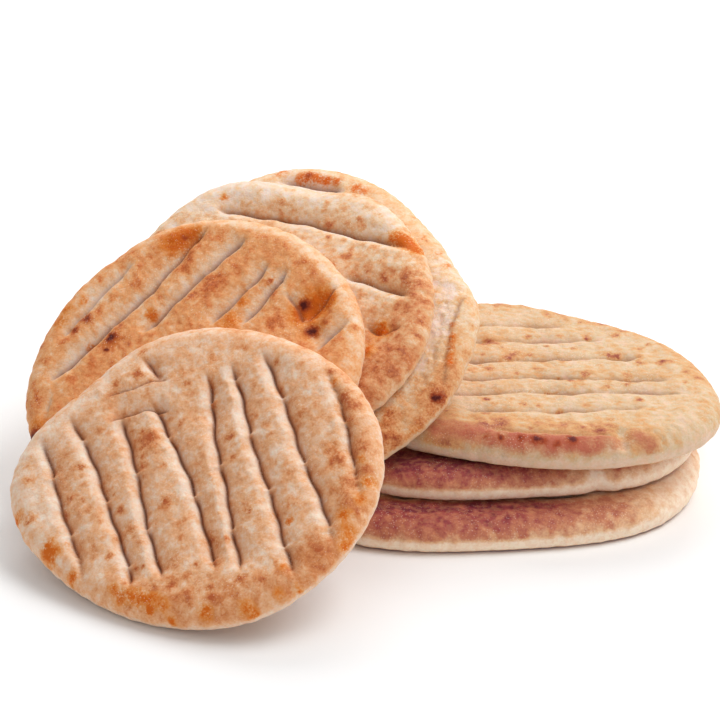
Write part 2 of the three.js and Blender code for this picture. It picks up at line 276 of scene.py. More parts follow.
def upper_height(bread, u, v, inset):
    """Height of the upper face above the middle plane, and the marks of its form.

    It is a quarter round over the rim, plus the slow wave of the crumb's bubbles, fine
    ripples and blisters, less the grooves, the folds and the dents [u, v, radius, depth]."""
    half = bread["thickness"] / 2
    rounded = np.sqrt(1 - (1 - np.clip(inset / RIM_ROUND, 0, 1)) ** 2)
    loft = half * ((1 + EDGE_DROP) * rounded - EDGE_DROP)
    phase = bread["order"] * WAVE_STEP
    slow = np.sin(u / SLOW_WAVE[0] + phase) * np.cos(v / SLOW_WAVE[1] - phase)
    quick = np.sin((u + v) / QUICK_WAVE[0] + 2 * phase) * np.cos((u - v) / QUICK_WAVE[1] + phase)
    wave = WAVE_HEIGHT * (SLOW_SHARE * slow + QUICK_SHARE * quick - WAVE_LOWERED)
    pressed, crease, bare = grooves_of(bread, u, v)
    folded, fold_shade = folds_of(bread, u, v, inset)
    dents = np.zeros_like(u)
    for dent_u, dent_v, radius, depth in bread["dents"]:
        dents += depth * mound(u, v, dent_u, dent_v, radius)
    seed = SEEDS_EACH * bread["order"]
    place = (u, v, loft)
    fine = layered(place, FINE_RELIEF, seed + 1) - FINE_LOWERED
    fine += spots(place, bread["wrinkled"], seed + 6) * layered(place, WRINKLES, seed + 7)
    blistered = scatter(bread, seed + 4, BLISTERS, BLISTER_RADII, BLISTER_HEIGHTS)
    blisters = spots(place, blistered, seed + 5)
    face = smooth_step(inset, *FACE_FADE)
    rim = smooth_step(inset, *RIM_FADE)
    height = loft + face * (wave - pressed - dents + blisters) + rim * (fine - folded)
    # The marks carry the painted shade of the grooves, folds and lips.
    return height, dict(pressed=pressed * face + folded * rim, bare=bare * face,
                        crease=np.maximum(crease * face, fold_shade * rim))


HEEL_ROUND = 5.0                    # how far in the flat underside rounds over
EDGE_INSET = 0.35                   # keeps the uneven edge inside the outline
EDGE_RIPPLE, EDGE_RIPPLE_LENGTH = 0.3, 6.0
OVER_STATIONS, HEEL_STATIONS, SOLE_STATIONS = 14, 7, 9


def bread_surface(bread):
    """Closed skin of a bread on a grid of directions by profile stations.

    From the middle of the upper face the stations run out at even steps to the rim, round
    it by equal angles, back under the heel by equal angles and in over the flat underside;
    a station's points lie at the edge radius less its inset, or at a share of that."""
    around, rings = bread["around"], bread["rings"]
    angle = np.arange(around) * 2 * np.pi / around
    edge = edge_radius(bread, angle)
    outline = (edge * np.cos(angle), edge * np.sin(angle), 0 * edge)
    uneven = ripples(outline, EDGE_RIPPLE_LENGTH, SEEDS_EACH * bread["order"] + 40)
    edge = edge - EDGE_INSET - EDGE_RIPPLE * uneven
    half = bread["thickness"] / 2
    face_share = np.arange(1, rings + 1) / rings
    over = np.linspace(0, np.pi / 2, OVER_STATIONS + 1)[1:]
    under = np.linspace(np.pi / 2, 0, HEEL_STATIONS + 1)[1:]
    in_again = np.linspace(1, 0, SOLE_STATIONS + 2)[1:-1]
    radius = np.concatenate([
        face_share[:, None] * (edge - RIM_ROUND),
        edge - RIM_ROUND * (1 - np.sin(over))[:, None],
        edge - HEEL_ROUND * (1 - np.sin(under))[:, None],
        in_again[:, None] * (edge - HEEL_ROUND),
    ])
    u, v = radius * np.cos(angle), radius * np.sin(angle)
    inset = edge - radius
    upper = rings + len(over)
    z, form = upper_height(bread, u, v, inset)
    drop = np.concatenate([np.cos(under), np.ones(len(in_again))])
    heel = half * (EDGE_DROP + (1 - EDGE_DROP) * drop)
    z[upper:] = -heel[:, None]
    facing = np.zeros_like(z)
    facing[:rings + 1] = 1
    facing[rings:upper] = np.cos(over)[:, None]
    facing[upper:upper + len(under)] = -np.cos(under)[:, None]
    facing[upper + len(under):] = -1
    form.update(inset=inset, facing=facing, angle=np.broadcast_to(angle, u.shape))
    return u, v, z, form


SLOW_BLOTCHES = ((0.35, 34.0), (0.4, 14.0))
QUICK_BLOTCHES = ((0.5, 6.0), (0.4, 2.8))
FLOURY_DEPTH = 2.5                  # a groove this deep has all the flour of `floury`
BAND_FADING, BAND_FADING_LENGTH = 0.25, 6.0
BAND_WAVER, BAND_WAVER_LENGTH = 0.5, 9.0
FRECKLE_RADII, FRECKLE_STRENGTHS = (0.8, 2.2), (0.2, 0.75)
BELOW_EDGE = (-0.28, 0.12)          # how far down the skin faces where the pale side sets in,
SOLE = (0.72, 0.95)                 # and where the sole does
RIM_BLOTCHY, SOLE_BLOTCHY = 0.08, 0.4
MOST_MARKED = 1.2


def baked(bread, place, form):
    """How far each place is toasted, spotted, burnt and scorched orange, and painted with shade in the
    creases.

    Toast is a base, plus slow and quick blotches, plus bands round the rim and wide soft
    patches, less the bare banks of the grooves and the flour in them; the side below the
    edge and the sole have their own.  A band [direction, spread, inset, width, strength]
    follows the rim, and its sides fade as exp(-distance^4)."""
    seed = SEEDS_EACH * bread["order"] + 50
    look = bread["look"]
    slow = layered(place, SLOW_BLOTCHES, seed)
    blotches = layered(place, QUICK_BLOTCHES, seed + 2, slow)
    toast = look["base"] + look["blotchy"] * blotches - look["bare"] * form["bare"]
    toast -= look["floury"] * np.clip(form["pressed"], 0, FLOURY_DEPTH) / FLOURY_DEPTH

    def along_rim(bands):
        uneven = 1 + BAND_FADING * ripples(place, BAND_FADING_LENGTH, seed + 4)
        shift = BAND_WAVER * ripples(place, BAND_WAVER_LENGTH, seed + 5)
        total = np.zeros_like(toast)
        for direction, spread, inset, width, strength in bands:
            around = away_from(form["angle"], direction) / np.radians(spread)
            across = (form["inset"] - inset + shift) / width
            total += strength * np.exp(-around ** 4) * np.exp(-across ** 4) * uneven
        return total

    toast += along_rim(look["bands"]) + spots(place, look["patches"], seed + 6)
    freckles = scatter(bread, seed + 7, look["freckles"], FRECKLE_RADII, FRECKLE_STRENGTHS)
    speckled = spots(place, freckles, seed + 8)
    below = smooth_step(-form["facing"], *BELOW_EDGE)
    toast = toast * (1 - below) + (look["rim"] + RIM_BLOTCHY * blotches) * below
    sole = smooth_step(-form["facing"], *SOLE)
    toast = toast * (1 - sole) + (look["sole"] + SOLE_BLOTCHY * slow) * sole
    upper = 1 - below
    spot = (spots(place, look["spots"], seed + 11) + speckled) * upper
    burn = spots(place, look["burn"], seed + 9) * upper
    ember = (spots(place, look["ember"], seed + 10) + along_rim(look["scorch"])) * upper
    return dict(toast=np.clip(toast, 0, 1), spot=np.clip(spot, 0, MOST_MARKED),
                burn=np.clip(burn, 0, 1), ember=np.clip(ember, 0, MOST_MARKED),
                crease=np.clip(form["crease"], 0, 1))


METRES = 0.001                      # in a millimetre
SAG_REACH = 80.0                    # distance from the middle at which `sag` is measured
PILE_MIDDLE = (4.4, 151.7, 0.0)     # of the whole pile, in the level stack's axes


def bread_mesh(name, bread, axes):
    """Puts the skin of a bread in its place and gives it its baking as attributes.

    It bends down by sag * (v / reach)^2, leans over about u, and then goes to `place`,
    which is given along the same `axes` as the bread lies in.  Quads join each station to
    the next, and a fan of triangles closes each end."""
    u, v, z, form = bread_surface(bread)
    marks = baked(bread, (u, v, z), form)
    z = z - bread["sag"] * (v / SAG_REACH) ** 2
    lean = np.radians(bread["lean"])
    local = np.stack([u, v * np.cos(lean) - z * np.sin(lean), v * np.sin(lean) + z * np.cos(lean)], -1)
    stations, around = u.shape
    points = local.reshape(-1, 3)
    ends = np.array([local[0].mean(0), local[-1].mean(0)])
    place = np.array(bread["place"]) @ axes
    points = np.concatenate([points, ends]) @ axes + place - PILE_MIDDLE
    index = np.arange(stations * around).reshape(stations, around)
    onward = np.roll(index, -1, axis=1)
    quads = np.stack([index[:-1], index[1:], onward[1:], onward[:-1]], -1).reshape(-1, 4)
    top, bottom = stations * around, stations * around + 1
    caps = np.concatenate([
        np.stack([np.full(around, top), index[0], onward[0]], -1),
        np.stack([np.full(around, bottom), onward[-1], index[-1]], -1),
    ])
    corners = np.concatenate([quads.ravel(), caps.ravel()])
    starts = np.concatenate([np.arange(len(quads)) * 4, quads.size + np.arange(len(caps)) * 3])
    mesh = bpy.data.meshes.new(name)
    mesh.vertices.add(len(points))
    mesh.vertices.foreach_set("co", (points * METRES).astype(np.float32).ravel())
    mesh.loops.add(len(corners))
    mesh.loops.foreach_set("vertex_index", corners.astype(np.int32))
    mesh.polygons.add(len(starts))
    mesh.polygons.foreach_set("loop_start", starts.astype(np.int32))
    mesh.polygons.foreach_set("use_smooth", np.ones(len(starts), bool))
    for mark, value in marks.items():
        flat = np.concatenate([value.ravel(), [value[0].mean(), value[-1].mean()]])
        mesh.attributes.new(mark, "FLOAT", "POINT").data.foreach_set("value", flat.astype(np.float32))
    mesh.update(calc_edges=True)
    piece = bpy.data.objects.new(name, mesh)
    bpy.context.scene.collection.objects.link(piece)
    return piece


def linear(code):
    """A colour written as six hexadecimal digits of sRGB, as linear red, green and blue."""
    value = np.array([int(code[i:i + 2], 16) for i in (0, 2, 4)]) / 255
    return (*np.where(value > 0.04045, ((value + 0.055) / 1.055) ** 2.4, value / 12.92), 1.0)


SHADE_STOPS = (0.0, 0.25, 0.5, 0.75, 1.0)
MIDDLING_GRAIN, FINE_GRAIN, GRIT = 330, 1050, 2600      # noise cells in a metre
GILDING_GRAIN, DUSTING, FLOUR_GRAINS = 420, 60, 900
# The brown for the creases is painted shade, and the flour white is painted glints as well as flour.
GILT, SINGED, CREASE_SHADE_COLOUR, FLOUR_AND_GLINT = "E8A874", "A0401C", "8E4E34", "FFF4E2"
GILDED = (0.43, 0.61, 0.0, 0.22)                        # from, to, least, most
DUSTED = (0.4, 0.62)
SPECKED = (0.1, 0.28, 0.35, 0.0)
MOST_CREASE_SHADE = 0.85
SPOT_TORN, SPOTTED = 2.5, (0.05, 1.1)
ROUGHNESS = (0.1, 0.9, 0.75, 0.5)                       # raw dough is duller than toast
DOUGH = {
    "Specular IOR Level": 0.1,
    "Subsurface Weight": 0.12,
    "Subsurface Radius": (1.0, 0.45, 0.2),
    "Subsurface Scale": 0.0025,
}
BUMP_STRENGTH, BUMP_DEPTH = 0.6, 0.0006
FINE_BUMP, GRIT_BUMP, MIDDLING_BUMP = 0.7, 0.3, 0.8


def crust(name, shades, halo, ember, spotty=0.62, torn=4.5, burnt="4C1616", grainy=0.5):
    """Baked crust: five shades from raw to deep brown along the toast, broken up by fine
    noise, with orange scorches, burns, painted shade in the creases, specks of flour that
    also serve as painted glints, and pores.

    `spotty` is how much a spot darkens it, `torn` how ragged a scorch is, and `grainy` how
    strong the fine noise is.  `halo` lies round the `ember` of a scorch."""
    material = bpy.data.materials.new(name)
    material.use_nodes = True
    nodes, links = material.node_tree.nodes, material.node_tree.links
    shader = nodes["Principled BSDF"]
    place = nodes.new("ShaderNodeTexCoord").outputs["Object"]

    def noise(scale, detail=2.0, rough=0.55):
        texture = nodes.new("ShaderNodeTexNoise")
        texture.inputs["Scale"].default_value = scale
        texture.inputs["Detail"].default_value = detail
        texture.inputs["Roughness"].default_value = rough
        links.new(place, texture.inputs["Vector"])
        return texture.outputs["Fac"]

    def attribute(mark):
        reader = nodes.new("ShaderNodeAttribute")
        reader.attribute_name = mark
        return reader.outputs["Fac"]

    def maths(operation, a, b, c=None):
        calculator = nodes.new("ShaderNodeMath")
        calculator.operation = operation
        for socket, value in zip(calculator.inputs, (a, b, c)):
            if isinstance(value, (int, float)):
                socket.default_value = value
            elif value is not None:
                links.new(value, socket)
        return calculator.outputs[0]

    def span(value, low, high, to_low=0.0, to_high=1.0):
        ranger = nodes.new("ShaderNodeMapRange")
        for socket, number in zip(list(ranger.inputs)[1:5], (low, high, to_low, to_high)):
            socket.default_value = number
        links.new(value, ranger.inputs["Value"])
        return ranger.outputs["Result"]

    def blend(amount, under, shade):
        mixer = nodes.new("ShaderNodeMix")
        mixer.data_type = "RGBA"
        links.new(amount, mixer.inputs["Factor"])
        links.new(under, mixer.inputs["A"])
        mixer.inputs["B"].default_value = linear(shade)
        return mixer.outputs["Result"]

    middling, fine, grit = noise(MIDDLING_GRAIN), noise(FINE_GRAIN), noise(GRIT, detail=1.0)
    broken = maths("MULTIPLY_ADD", maths("ADD", middling, fine), grainy, -grainy)

    def ragged(mark, amount):
        return maths("MULTIPLY", attribute(mark), maths("MULTIPLY_ADD", broken, amount, 1.0))

    spotted = span(ragged("spot", SPOT_TORN), *SPOTTED, 0.0, spotty)
    toast = maths("ADD", maths("ADD", attribute("toast"), broken), spotted)
    ramp = nodes.new("ShaderNodeValToRGB")
    while len(ramp.color_ramp.elements) < len(SHADE_STOPS):
        ramp.color_ramp.elements.new(0.5)
    for element, stop, shade in zip(ramp.color_ramp.elements, SHADE_STOPS, shades):
        element.position = stop
        element.color = linear(shade)
    links.new(toast, ramp.inputs["Fac"])
    colour = blend(span(noise(GILDING_GRAIN), *GILDED), ramp.outputs["Color"], GILT)

    # Each coat sets in between two values of its mark: the mark, how torn its edge is, from,
    # to, how much of it there is at most, and its shade.
    coats = (
        ("ember", torn, 0.05, 0.45, 0.75, halo),
        ("ember", torn, 0.25, 0.85, 0.95, ember),
        ("burn", 3.0, 0.03, 0.4, 0.85, SINGED),
        ("burn", 2.0, 0.4, 0.85, 0.94, burnt),
    )
    for mark, tearing, low, high, most, shade in coats:
        colour = blend(span(ragged(mark, tearing), low, high, 0.0, most), colour, shade)
    # Painted shade: the creases and the banks beside them darken towards brown.
    colour = blend(maths("MULTIPLY", attribute("crease"), MOST_CREASE_SHADE), colour, CREASE_SHADE_COLOUR)
    # Specks of flour, which also stand in for tiny glints: painted highlights.
    flour = nodes.new("ShaderNodeTexVoronoi")
    flour.inputs["Scale"].default_value = FLOUR_GRAINS
    links.new(place, flour.inputs["Vector"])
    dusted = span(noise(DUSTING), *DUSTED)
    flour_and_glints = maths("MULTIPLY", span(flour.outputs["Distance"], *SPECKED), dusted)
    links.new(blend(flour_and_glints, colour, FLOUR_AND_GLINT), shader.inputs["Base Color"])

    links.new(span(toast, *ROUGHNESS), shader.inputs["Roughness"])
    for socket, value in DOUGH.items():
        shader.inputs[socket].default_value = value
    grain = maths("MULTIPLY_ADD", fine, FINE_BUMP, maths("MULTIPLY", grit, GRIT_BUMP))
    bump = nodes.new("ShaderNodeBump")
    bump.inputs["Strength"].default_value = BUMP_STRENGTH
    bump.inputs["Distance"].default_value = BUMP_DEPTH
    links.new(maths("ADD", grain, maths("MULTIPLY", middling, MIDDLING_BUMP)), bump.inputs["Height"])
    links.new(bump.outputs["Normal"], shader.inputs["Normal"])
    return material


def dress(piece, node, material):
    """Gives a bread its crust and lets it stand for its node of the frame."""
    piece.data.materials.append(material)
    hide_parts(node)
    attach(piece, "root")


# What a bread has unless its own section says otherwise.  `gentle` is how wide a groove's
# gentle bank is, `patchy` how much its depth varies, and `tabs` is 1 where dough bridges it;
# `around` and `rings` are the steps of the mesh.
PLAIN = dict(turn=0, lean=0, sag=0, tabs=0,
             dents=[], creases=[], folds=[], valleys=[], lips=[], wrinkled=[])

# The same for its look: `base`, `rim` and `sole` say how toasted its face, its side below
# the edge and its underside are; `blotchy`, `bare` and `floury` how strong the blotches, the
# missed banks and the flour are.  The marks are spots, or bands for `bands` and `scorch`.
UNMARKED = dict(bands=[], patches=[], spots=[], burn=[], ember=[], scorch=[])


STACK_THICKNESS = 14.2
LEVEL = np.eye(3)
browned_stack = crust("crust_browned", ("FCE6CE", "E8BC94", "C27A5E", "A24E4A", "7A323C"),
                      "C87840", "B86A38", spotty=0.35, grainy=0.3)
bottom = dict(
    PLAIN, order=0, place=(52, 175.5, 7.1), around=460, rings=70,
    length=185, width=168, thickness=STACK_THICKNESS,
    bulges=[[278, -5, 28], [325, 5, 24], [222, 7, 26], [160, -3, 30]],
    grain=0, gentle=8, patchy=0.2,
    grooves=[
        [-52, -40, 42, 2, 0, 2.2], [-32, -62, 60, -4, 2, 2.4], [-12, -70, 68, 2, -1, 2.4],
        [9, -70, 66, 2, 1, 2.4], [30, -64, 62, -3, 1, 2.4], [50, -44, 44, 2, 0, 2.2],
    ],
    look=dict(
        UNMARKED, base=0.2, blotchy=0.12, bare=0.1, floury=0, rim=-0.1, sole=0.6, freckles=50,
        # The second band, deep in under the middle bread, is painted shade in the crevice between the two.
        bands=[[252, 42, 10, 11, 0.55], [250, 50, 18, 5, 0.35], [306, 20, 9, 9, 0.24], [100, 80, 7, 5, 0.2],
               [336, 22, 6, 12, -0.16]],
    ),
)
bottom_piece = bread_mesh("pita_stack_bottom_crust", bottom, LEVEL)
dress(bottom_piece, "pita_stack_bottom", browned_stack)


# ---- The middle bread of the level stack --------------------------------------------------
# The same dough and baking, laid a little further back, its rim folded once at the right.

middle = dict(
    PLAIN, order=1, place=(61, 195, 21.7), around=460, rings=70,
    length=180, width=168, turn=20, thickness=STACK_THICKNESS,
    bulges=[[275, -4, 24], [316, 6, 22], [225, 6, 25], [297, -2.4, 3], [45, -6, 22]],
    grain=4, gentle=8, patchy=0.2, folds=[[42, -94, 37, -72, 0, 1.4, 3, 4]],
    grooves=[
        [-54, -38, 42, 3, 0, 2.2], [-34, -60, 58, -2, 1, 2.4], [-14, -68, 66, 2, 1, 2.4],
        [7, -70, 68, -3, -1, 2.4], [27, -66, 62, 2, 1, 2.4], [48, -46, 46, 2, 0, 2.2],
    ],
    look=dict(
        UNMARKED, base=0.16, blotchy=0.12, bare=0.1, floury=0, rim=-0.08, sole=0.6, freckles=50,
        # The second band, deep in under the top bread, is painted shade in the crevice between the two.
        bands=[[252, 40, 9, 10.5, 0.62], [262, 42, 15, 8, 0.34], [308, 13, 10, 7.5, 0.6],
               [334, 18, 6, 12, -0.14]],
        patches=[[37, -74, 3.4, -0.6], [36, -66, 3, -0.4]],
    ),
)
middle_piece = bread_mesh("pita_stack_middle_crust", middle, LEVEL)
dress(middle_piece, "pita_stack_middle", browned_stack)


# ---- The top bread of the level stack -------------------------------------------------------
# Yellower and lighter, its grooves shallow and its small blisters browned.  The front rim
# is scorched in a band below a raised lip, with the pale heel of the loaf under it.

pale_stack = crust("crust_yellow", ("E2C4AC", "D4BA98", "D2A06C", "BE7C52", "964638"),
                   "C88C64", "B8644E", spotty=0.85, torn=2.4, burnt="5C2224", grainy=0.45)
top = dict(
    PLAIN, order=2, place=(72, 178.8, 36.3), around=620, rings=106,
    length=158, width=130, turn=-34, thickness=STACK_THICKNESS,
    bulges=[[102, 7.5, 24], [158, -7, 24], [208, 8, 26], [332, 6.5, 22], [352, 0.5, 12],
            [20, 4, 34], [275, -3, 40]],
    grain=0, gentle=7, patchy=0.6,
    valleys=[[34, -50, 42, -80, 0, 2.4, 3.2]], lips=[[10, 276, 30, 1.8]],
    wrinkled=[[60, -50, 14, 0.5], [50, -58, 8, 0.6], [72, -20, 12, 0.4]],
    grooves=[
        [-34, -30, 47, 2, -1, 1.8], [-19.5, -46, 66, 1, 2, 2.1], [-5, -54, 60, -2, 1, 2.3],
        [14.5, -50, 48, 2, -1, 2.3], [31, -42, 34, 2, 1, 2.0], [46, -34, 18, 2, 1, 1.8],
    ],
    dents=[[20, 22, 9, 0.6], [-20, 5, 8, 0.6], [44, 4, 9, 0.5], [47, -66, 6, -1.2]],
    look=dict(
        UNMARKED, base=0.29, blotchy=0.18, bare=0.08, floury=0.12, rim=0.06, sole=0.6, freckles=60,
        bands=[[262, 44, 14, 9, 0.26], [272, 30, 7, 5, 0.12], [335, 34, 14, 14, 0.05],
               [58, 60, 3, 7, 0.26]],
        patches=[
            [-14, -47, 5, 0.2], [-21, -50, 6, 0.2], [-38, -56, 8, 0.3], [28, -52, 5, 0.2],
            [45, -58, 7, 0.22], [-16, 31, 6, 0.16], [-5, 16, 7, 0.14], [33, 19, 7, 0.1],
            [62, -45, 16, -0.12],
        ],
        spots=[
            [-12, 66, 1.8, 0.6], [11, 57, 2.4, 0.5], [33, 49, 2.4, 0.5], [42, 41, 2.6, 0.5],
            [1, 36, 1.8, 0.7], [15, 37, 2, 0.7], [26, 36, 2, 0.6], [39, 36, 2.2, 0.6],
            [53, 28, 1.8, 0.6], [49, 24, 1.8, 0.6], [-16, 31, 3, 0.6], [-19, 29, 2.4, 0.5],
            [-11, 30, 3, 0.3], [-5, 18, 3, 0.5], [-9, 15, 3, 0.4], [6, 12, 2.4, 0.6], [14, 11, 2, 0.7],
            [38, 17, 2, 1.1], [47, 11, 2.4, 0.5], [57, 11, 2, 0.8], [61, 11, 2, 0.8], [-18, 6, 2, 0.7],
            [-23, 5, 2.4, 0.4], [4, 2, 4, 0.3], [24, -1, 2.2, 0.9], [42, 0, 3, 0.4], [41, -5, 1.7, 0.6],
            [66, 1, 1.8, 0.5], [72, -4, 2.4, 0.4], [17, -8, 1.7, 0.9], [10, -5, 1.7, 0.5],
            [33, -8, 2.2, 0.4], [30, -15, 2.2, 0.3], [8, -17, 2.3, 0.6], [-19, -25, 1.7, 0.9],
            [-9, -26, 1.6, 0.6], [-16, -30, 1.7, 0.5], [-4, -29, 1.7, 0.6], [3, -31, 2, 0.5],
            [22, -30, 1.7, 0.5], [45, -26, 1.9, 0.9], [-20, -38, 2, 0.6], [50, -35, 2, 0.6],
            [-14, -47, 3, 0.4], [-21, -50, 3, 0.5], [-38, -56, 5, 0.5], [28, -52, 3, 0.4],
            [39, -56, 2.2, 0.3], [47, -60, 2.4, 0.3], [21, -12, 3, 0.3], [-30, -50, 3, 0.4],
        ],
        burn=[[-11, 25, 0.8, 0.7], [-14, -57.5, 1.8, 0.8], [-6, -58.5, 1.6, 0.7], [0, -59.5, 2.2, 0.9],
              [3, -61, 1.8, 0.6], [9, -62, 1.6, 0.6], [15, -60.5, 2.2, 0.9], [-20, -56, 1.6, 0.4]],
        ember=[[42, -57, 4, 0.45], [48, -60, 4, 0.5]],
        scorch=[[274, 25, 4.9, 4.2, 0.95], [238, 13, 6, 5, 0.6]],
    ),
)
top_piece = bread_mesh("pita_stack_top_crust", top, LEVEL)
dress(top_piece, "pita_stack_top", pale_stack)


# ---- The hindmost bread of the fan ------------------------------------------------------------
# Draped over the level stack, so it sags at both ends of the slope.  Its pale rim is wrinkled
# in a valley and scorched along a crease, and the far end of its ridge is burnt orange.

FAN_THICKNESS = 13.0
FAN_TILT, FAN_TURN = np.radians(32), np.radians(-32)
ACROSS_FAN = np.array([np.cos(FAN_TURN), np.sin(FAN_TURN), 0])
UP_FAN = np.array([
    -np.sin(FAN_TURN) * np.cos(FAN_TILT), np.cos(FAN_TURN) * np.cos(FAN_TILT), np.sin(FAN_TILT)])
FAN = np.array([ACROSS_FAN, UP_FAN, np.cross(ACROSS_FAN, UP_FAN)])
back_crust = crust("crust_cream", ("F0DCCE", "E8CAA6", "E4AC78", "CC7E4A", "A44E2E"), "DE8E48", "D6600C")
back = dict(
    PLAIN, order=3, place=(-128, 151, -23), sag=7, around=540, rings=96,
    length=172, width=170, thickness=FAN_THICKNESS,
    bulges=[[352, 4, 20], [22, 2.5, 14], [38, -3.2, 12], [60, -7.5, 23], [115, 5.8, 22],
            [160, -4, 24], [300, -3, 24], [255, 9, 36]],
    grain=3, gentle=9, patchy=0.2,
    folds=[[87, -8, 74, 36, 2, 1.0, 1.6, 3.5], [38, 68, 62, 50, 1, 0.5, 1, 2]],
    valleys=[[64, 40, 77, -36, 4, 1.3, 5.5]],
    wrinkled=[[66, 30, 7, 0.7], [70, 18, 7, 0.9], [74, 4, 7, 0.9], [76, -10, 7, 0.9], [77, -24, 7, 0.7]],
    grooves=[
        [-48, -46, 40, 2, 0, 2.2], [-28, -60, 56, -3, 1, 2.4], [-8, -66, 58, 2, 1, 2.4],
        [12, -64, 58, 2, -1, 2.4], [32, -58, 50, -2, 1, 2.6], [52, -50, 34, 2, 1, 2.6],
        [72.5, -34, -3, 1, 0, 3.0],
    ],
    look=dict(
        UNMARKED, base=0.32, blotchy=0.2, bare=0.1, floury=0.36, rim=0.28, sole=0.4, freckles=80,
        bands=[[335, 26, 6, 8, 0.3], [4, 20, 6, 4, 0.14], [60, 50, 2, 4, 0.1]],
        patches=[[-24, 76, 12, -0.1], [64, 46, 15, -0.22], [80, 24, 10, -0.16]],
        spots=[
            [66, 29, 1.8, 0.5], [73, 33, 3, 0.4], [84, 24, 2, 0.5], [74, -9, 2.4, 0.5],
            [71, -18, 3, 0.6], [71, -28, 4, 0.5], [76, -37, 5, 0.5], [88, -13, 5, 0.6],
            [88, -22, 4, 0.5], [87, -28, 5, 0.5], [89, 9, 3, 0.3], [80, 13, 2.6, 0.6], [83, 4, 2.6, 0.6],
        ],
        burn=[[86, -14, 2.1, 1.0], [-27, 77, 1.8, 0.5]],
        ember=[
            [-27, 77, 3.2, 0.9], [-22, 76, 3, 0.7], [-18, 77, 2.6, 0.8], [-13, 78, 2.4, 0.8],
            [-30, 74, 2.6, 0.7], [-40, 75, 4, 0.5], [-3, 77, 2.6, 0.7], [2, 76, 4, 0.5],
            [41, 59, 2, 0.4], [51, 54, 2.4, 0.45], [58, 49, 2.4, 0.45], [77, 20, 1.8, 0.6],
            [79, 16, 1.6, 0.5], [80, 13, 2, 0.7], [84, 3, 2, 0.8], [82, 9, 1.7, 0.7], [83, 6, 1.6, 0.5],
            [85, -31, 3.4, 0.6], [85, -39, 4, 0.8],
        ],
    ),
)
back_piece = bread_mesh("pita_fan_back_crust", back, FAN)
dress(back_piece, "pita_fan_back", back_crust)


# ---- The third bread of the fan -----------------------------------------------------------------
# Pale above one long groove that runs right across, golden at the right shoulder, with a
# dimple baked brown.

third_crust = crust("crust_honey", ("EAD6C6", "EACAA8", "E2AA7A", "CE7E4E", "A65032"), "E49A48", "D0600C")
third = dict(
    PLAIN, order=4, place=(-130.5, 148, -9.7), sag=4.5, around=540, rings=96,
    length=152, width=141, thickness=FAN_THICKNESS,
    bulges=[[78, 2.5, 14], [97, -4, 18], [132, 5, 18], [168, -2.2, 14], [358, 1.5, 20]],
    grain=2, gentle=13, patchy=0.2,
    folds=[[50, 5, 60, 2, 0, 2.2, 1.4, 6], [60, 2, 66, 8, 0, 1.8, 1.4, 6]],
    grooves=[
        [-36, -46, 44, 2, 0, 2.4], [-16, -56, 54, -2, 1, 2.6], [4, -58, 42, 2, 1, 2.6],
        [22.5, 30, 64, -1.5, 0, 3.0], [43.5, -43, 54, 1, 2.2, 3.4],
    ],
    dents=[[55, 4, 7, 2.0], [10, 33, 14, -1.0], [46, 35, 12, -0.8]],
    look=dict(
        UNMARKED, base=0.39, blotchy=0.3, bare=0.3, floury=0, rim=0.32, sole=0.3, freckles=60,
        bands=[[345, 40, 14, 14, 0.14], [95, 50, 5, 9, -0.16], [128, 40, 9, 14, -0.16]],
        patches=[[75, -10, 12, 0.12], [65, -15, 11, 0.14], [62, 32, 9, 0.1], [71, 22, 8, 0.1],
                 [62, 20, 11, 0.12]],
        spots=[
            [-17, 53, 1.8, 0.5], [3, 58, 1.8, 0.4], [3, 54, 1.5, 0.5], [2, 49, 1.5, 0.5],
            [5, 45, 2.4, 0.4], [13, 41, 1.8, 0.8], [25, 34, 1.8, 0.8], [34, 43, 2.2, 0.6],
            [42, 36, 1.5, 0.5], [48, 28, 2, 0.9], [37, 30, 1.8, 0.5], [60, 35, 3, 0.5],
            [56, 32, 2.4, 0.4], [62, 29, 2.4, 0.4], [59, 6, 4, 0.5], [63, 6, 2.4, 0.5],
            [72, -2, 2, 0.5], [64, 16, 2, 0.4], [72, 13, 2, 0.4], [77, -29, 3, 0.5], [-33, 48, 5, 0.2],
            [-10, 50, 4, 0.2], [66, 24, 2.4, 0.3],
        ],
        ember=[
            [-44, 48, 2.3, 0.6], [41, 50, 3.6, 0.8], [45, 50, 3.6, 0.8], [52, 48, 3, 1.0],
            [48, 49, 3, 0.8], [59, 4, 3.6, 0.9], [56, 6, 3, 0.5], [57, -7, 4, 0.7],
        ],
    ),
)
third_piece = bread_mesh("pita_fan_third_crust", third, FAN)
dress(third_piece, "pita_fan_third", third_crust)


# ---- The second bread of the fan -----------------------------------------------------------------
# The most toasted of the fan: long ridges with brown crests, black blisters at the left, and
# a deep pit at the right whose floor is baked orange and burnt.

